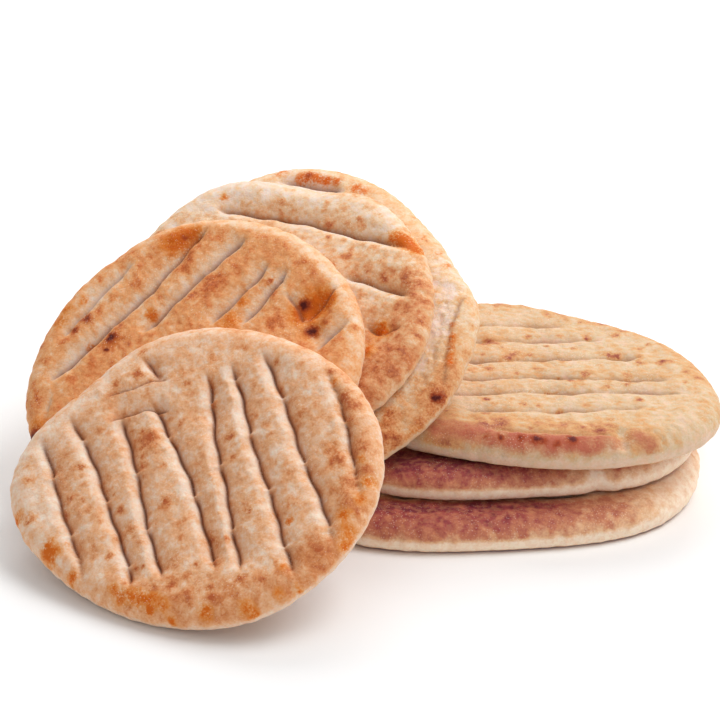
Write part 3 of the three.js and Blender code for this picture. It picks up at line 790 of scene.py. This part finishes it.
golden_fan = crust("crust_golden", ("EAD6C4", "ECC6A2", "E4A068", "CE743E", "AA4C26"),
                   "E08A38", "C85C0C", spotty=0.6, grainy=0.42)
second = dict(
    PLAIN, order=5, place=(-138.5, 108, 3), lean=1.5, sag=1.5, around=620, rings=108,
    length=150, width=149, thickness=FAN_THICKNESS,
    bulges=[[118, 1.5, 22], [150, -1.5, 12], [60, -1, 20], [178, -2.2, 26]],
    grain=73, gentle=12, tabs=0.3, patchy=0.15,
    folds=[[26, 42, 40, 32, 0, 2.2, 1.4, 9], [40, 32, 46, 51, 0, 2.2, 1.4, 9]],
    creases=[[35, -59, -46, 8, 0, 1.6], [14, -60, -14, 2, 0, 2.4], [-6, -62, -10, 2, 0, 2.4]],
    grooves=[
        [-44.5, 33, 58, 0, 0, 2.8], [-26, -52, 4, 2, 0, 2.4], [-6, 25, 57, 2.5, 0, 2.8],
        [4.5, 17, 55, 1.5, 0, 2.6], [26, -2, 59, -2.5, 0, 3.0], [44, -43, 54, -2, -2.9, 3.2],
        [57.5, -25, 22, 0.5, 0, 1.8],
    ],
    dents=[[40, 39, 8.5, 3.0], [47, 27, 5, 2.4], [-12, 22, 12, -0.7]],
    look=dict(
        UNMARKED, base=0.53, blotchy=0.16, bare=-0.05, floury=0.42, rim=0.34, sole=0.4, freckles=70,
        bands=[[70, 60, 3, 4, -0.3]],
        patches=[[-33, 54, 10, 0.2], [0, 46, 12, 0.06], [60, 24, 8, 0.1], [-60, 20, 10, -0.12],
                 [36, 48, 8, 0.16]],
        spots=[
            [-34, 56, 6, 0.4], [-37, 50, 6, 0.35], [-30, 60, 4, 0.3], [-17, 61, 4, 0.5],
            [-25, 43, 5, 0.5], [-9, 39, 5, 0.5], [-10, 34, 4, 0.4], [-27, 16, 3, 0.5], [-39, 0, 5, 0.4],
            [-35, -2, 4, 0.3], [-55, 6, 4, 0.5], [-57, -1, 3, 0.5], [-49, 19, 2.2, 0.5],
            [-52, 12, 2, 0.5], [-42, 28, 3, 0.4], [-57, 39, 4, 0.2], [-62, -18, 2.4, 0.5],
            [-56, -37, 5, 0.4], [-46, -23, 3, 0.4], [13, 65, 2.4, 0.5], [24, 58, 3, 0.4],
            [33, 54, 2.4, 0.5], [30, 59, 3, 0.4], [48, 39, 2, 0.5], [62, 36, 2.4, 0.7],
            [68, 23, 2.4, 0.4], [59, 25, 5, 0.2], [29, 30, 5, 0.5], [27, 25, 3, 0.4], [20, 40, 2, 0.6],
            [-40, 8, 3, 0.3], [-28, 25, 4, 0.3], [8, 40, 4, 0.3],
        ],
        burn=[
            [-33, 56, 1.6, 0.4], [-39, 0, 2.6, 1.0], [-38, -6, 1.0, 0.9], [-55, 6, 2.2, 0.7],
            [-57, -1, 2, 0.6], [-50, -52, 3, 1.0], [35, 40, 2.4, 1.0], [45, 29, 2.6, 1.0],
        ],
        ember=[
            [-34, 55, 6, 0.7], [-37, 51, 5, 0.6], [-30, 60, 3.4, 0.5], [-67, 1, 3.4, 0.6],
            [-67, 8, 2.6, 0.6], [-61, 14, 2.6, 0.5], [-39, 0, 4, 0.4], [-27, 16, 3, 0.8],
            [-47, -6, 2, 0.6], [-50, -48, 4, 0.7], [9, 33, 3, 0.6], [9, 22, 5, 0.6], [38, 43, 6, 0.5],
            [36, 35, 4.5, 1.0], [44, 45, 4.5, 0.9], [41, 39, 5, 0.8], [45, 29, 4.5, 0.6],
        ],
    ),
)
second_piece = bread_mesh("pita_fan_second_crust", second, FAN)
dress(second_piece, "pita_fan_second", golden_fan)


# ---- The front bread of the fan --------------------------------------------------------------------
# Shows whole: eight deep grooves run down it, its ridges are pale at the left and golden at
# the right, and its lower rim is baked orange brown above the pale heel.

front_crust = crust("crust_front", ("EEDCCA", "ECCAAE", "E6AE82", "D48854", "B85E34"),
                    "E6984C", "D2640E", spotty=0.68)
front = dict(
    PLAIN, order=6, place=(-101.3, 56.2, 14.6), lean=2.4, sag=0.5, around=640, rings=108,
    length=158, width=137, turn=7, thickness=FAN_THICKNESS,
    bulges=[[120, 2, 25], [163, -5, 18], [203, 5, 22], [250, -2, 30], [315, 2.5, 22]],
    grain=-48, gentle=12.5, tabs=1, patchy=0.1,
    creases=[[-6.4, -62, -48, 6, 0, 2.2]],
    folds=[[-47, 40, -34, 32, 0, 1.8, 1.0, 6], [-54, 19, -32, 34, 0, 1.8, 1.1, 7],
           [-47, 9, -26, 22, 1.5, 3.4, 2.0, 12]],
    grooves=[
        [-57.5, -43, 34, 3, 0, 3.0], [-41, -47, 43, 6.5, 2, 3.4], [-24.7, -40, 44, -2, -0.4, 3.6],
        [-7, -39, 50, 6.5, 2.8, 3.6], [10.6, -42, 55, -8, -1.2, 3.6], [26.2, -42, 68, 1, -1, 3.6],
        [43, -41, 65, 5.5, -0.3, 3.4], [61, -30, 49, -3, 1.9, 3.2],
    ],
    dents=[[-40, 27, 8, -1.4], [-14, 23, 10, 1.6]],
    look=dict(
        UNMARKED, base=0.42, blotchy=0.23, bare=0.34, floury=-0.06, rim=0.2, sole=0.3, freckles=70,
        bands=[[302, 42, 6, 7, 0.2], [10, 44, 7, 7, 0.14], [185, 50, 5, 8, -0.14]],
        patches=[
            [-46, 30, 9, 0.14], [-26, 5, 7, 0.16], [72, -20, 9, 0.08], [57, 22, 7, 0.12],
            [66, 0, 16, 0.04], [46, -40, 12, 0.1], [12, -52, 12, 0.1], [-30, 44, 12, -0.05],
        ],
        spots=[
            [-53, 26, 2.4, 0.9], [-46, 34, 3.4, 0.4], [-52, 21, 2.4, 0.4], [-67, 17, 3.4, 0.3],
            [-27, 7, 4.6, 0.6], [-26, 2, 4.6, 0.3], [-35, 8, 2, 0.5], [-49, 4, 5, 0.2],
            [-48, -14, 2, 0.6], [-59, -15, 5, 0.3], [-67, -27, 3, 0.5], [-57, -42, 3, 0.6],
            [-41, -54, 4, 0.3], [-47, -29, 2.4, 0.5], [-39, -27, 2.4, 0.4], [-44, -36, 1.6, 0.5],
            [-28, -34, 2.4, 0.4], [17, -51, 2.4, 0.5], [6, -54, 3, 0.35], [25, -51, 3, 0.35],
            [28, -56, 2, 0.4], [-2, -48, 1.8, 0.5], [23, -40, 2, 0.5], [-23, -6, 2.3, 0.7],
            [-4, -18, 2.8, 0.9], [-22, -27, 2, 0.9], [-13, -34, 3.5, 0.6], [-33, -17, 5, 0.2],
            [-6, -37, 3.4, 0.3], [15, -50, 4, 0.25], [15, -42, 2.6, 0.4], [44, -40, 2, 0.5],
            [46, -44, 4, 0.3], [53, -38, 2, 0.6], [60, -30, 1.6, 0.6], [67, -17, 3, 0.25],
            [70, -22, 3, 0.2], [75, -29, 3, 0.2], [79, -13, 3, 0.3], [56, 24, 5, 0.4],
            [59, 20, 3.4, 0.4], [67, 27, 3.6, 0.4], [53, 39, 2.8, 0.6], [46, 47, 4, 0.4],
            [34, 58, 2.4, 0.5], [32, 36, 2.6, 0.6], [17, 44, 1.8, 0.5], [9, 55, 1.8, 0.6],
            [1, 60, 2.4, 0.3], [67, 14, 5, 0.5], [71, 4, 4, 0.5], [63, 30, 3, 0.5], [70, 20, 3, 0.5],
            [74, -8, 4, 0.5], [8, 17, 2.6, 0.7], [14, 9, 2, 0.4], [1, -1, 4, 0.2], [11, -3, 3.4, 0.25],
            [31, -11, 3.8, 0.5], [48, -2, 3.8, 0.5], [23, -27, 3, 0.5], [29, -36, 4, 0.4],
            [-23, 19, 2, 0.4],
        ],
        ember=[
            [-65, -44, 2.4, 0.7], [-64, -40, 1.8, 0.5], [-41, -54, 4.2, 0.9], [-44, -51, 3, 0.6],
            [-27, -60, 2.4, 0.9], [-6, -60, 2.4, 0.6], [-2, -62, 3, 0.8], [3, -60, 3.2, 0.7],
            [8, -60, 3, 0.8], [13, -59, 3, 0.7], [18, -60, 2.6, 0.7], [13, -63, 1.6, 1.2],
            [23, -64, 2, 0.8], [36, -57, 2.6, 1.0], [51, -50, 3, 0.6], [54, -50, 2, 0.6],
            [61, -40, 2, 0.7], [68, -36, 2.2, 1.0], [58, -30, 1.6, 0.6], [77, -12, 3, 0.7],
            [75, -6, 3, 0.6], [71, -1, 3, 0.8], [73, 16, 3, 0.6], [74, 8, 2.6, 0.6], [38, 54, 2, 0.8],
            [50, -10, 2, 0.9], [-68, 16, 2, 0.5], [66, 24, 2.4, 0.5],
        ],
    ),
)
front_piece = bread_mesh("pita_fan_front_crust", front, FAN)
dress(front_piece, "pita_fan_front", front_crust)


# ---- Floor, light and camera ---------------------------------------------------------------------------
# A plain white table under an even sky, with one large soft lamp high at the right and
# another behind the pile.

FLOOR_HALF = 4.0                    # metres, as are the places below
FLOOR_WHITE, FLOOR_ROUGHNESS = 0.93, 0.9
SKY_STRENGTH = 0.56
LAMP_TARGET = (0, 0, 0.03)

floor_mesh = bpy.data.meshes.new("floor")
floor_mesh.from_pydata(
    [(-FLOOR_HALF, -FLOOR_HALF, 0), (FLOOR_HALF, -FLOOR_HALF, 0), (FLOOR_HALF, FLOOR_HALF, 0),
     (-FLOOR_HALF, FLOOR_HALF, 0)], [], [(0, 1, 2, 3)])
floor = bpy.data.objects.new("floor", floor_mesh)
bpy.context.scene.collection.objects.link(floor)
floor_paint = bpy.data.materials.new("white_table")
floor_paint.use_nodes = True
floor_shader = floor_paint.node_tree.nodes["Principled BSDF"]
floor_shader.inputs["Base Color"].default_value = (FLOOR_WHITE, FLOOR_WHITE, FLOOR_WHITE, 1)
floor_shader.inputs["Roughness"].default_value = FLOOR_ROUGHNESS
floor_mesh.materials.append(floor_paint)

sky = bpy.data.worlds.new("sky")
sky.use_nodes = True
sky.node_tree.nodes["Background"].inputs["Color"].default_value = (1, 1, 1, 1)
sky.node_tree.nodes["Background"].inputs["Strength"].default_value = SKY_STRENGTH
bpy.context.scene.world = sky


def softbox(name, place, size, power):
    """A square area lamp of a power in watts, at `place`, that faces the pile."""
    lamp = bpy.data.lights.new(name, "AREA")
    lamp.size = size
    lamp.energy = power
    holder = bpy.data.objects.new(name, lamp)
    holder.location = place
    holder.rotation_euler = (Vector(LAMP_TARGET) - Vector(place)).to_track_quat("-Z", "Y").to_euler()
    bpy.context.scene.collection.objects.link(holder)


softbox("lamp_right", (1.05, 0.06, 1.75), size=1.2, power=22.5)
softbox("lamp_back", (0.15, 1.60, 1.36), size=1.4, power=20.5)

CAMERA_PLACE = Vector((-0.0044, -1.3674, 0.7290))
CAMERA_TARGET = Vector((-0.0044, 0.1273, 0.0))
SENSOR_WIDTH, LENS = 36.0, 182.8    # millimetres
NEAREST, FARTHEST = 0.05, 20.0
view = bpy.data.cameras.new("camera")
view.sensor_width = SENSOR_WIDTH
view.lens = LENS
view.clip_start = NEAREST
view.clip_end = FARTHEST
camera = bpy.data.objects.new("camera", view)
camera.location = CAMERA_PLACE
camera.rotation_euler = (CAMERA_TARGET - CAMERA_PLACE).to_track_quat("-Z", "Y").to_euler()
bpy.context.scene.collection.objects.link(camera)
bpy.context.scene.camera = camera
bpy.context.scene.view_settings.view_transform = "Standard"
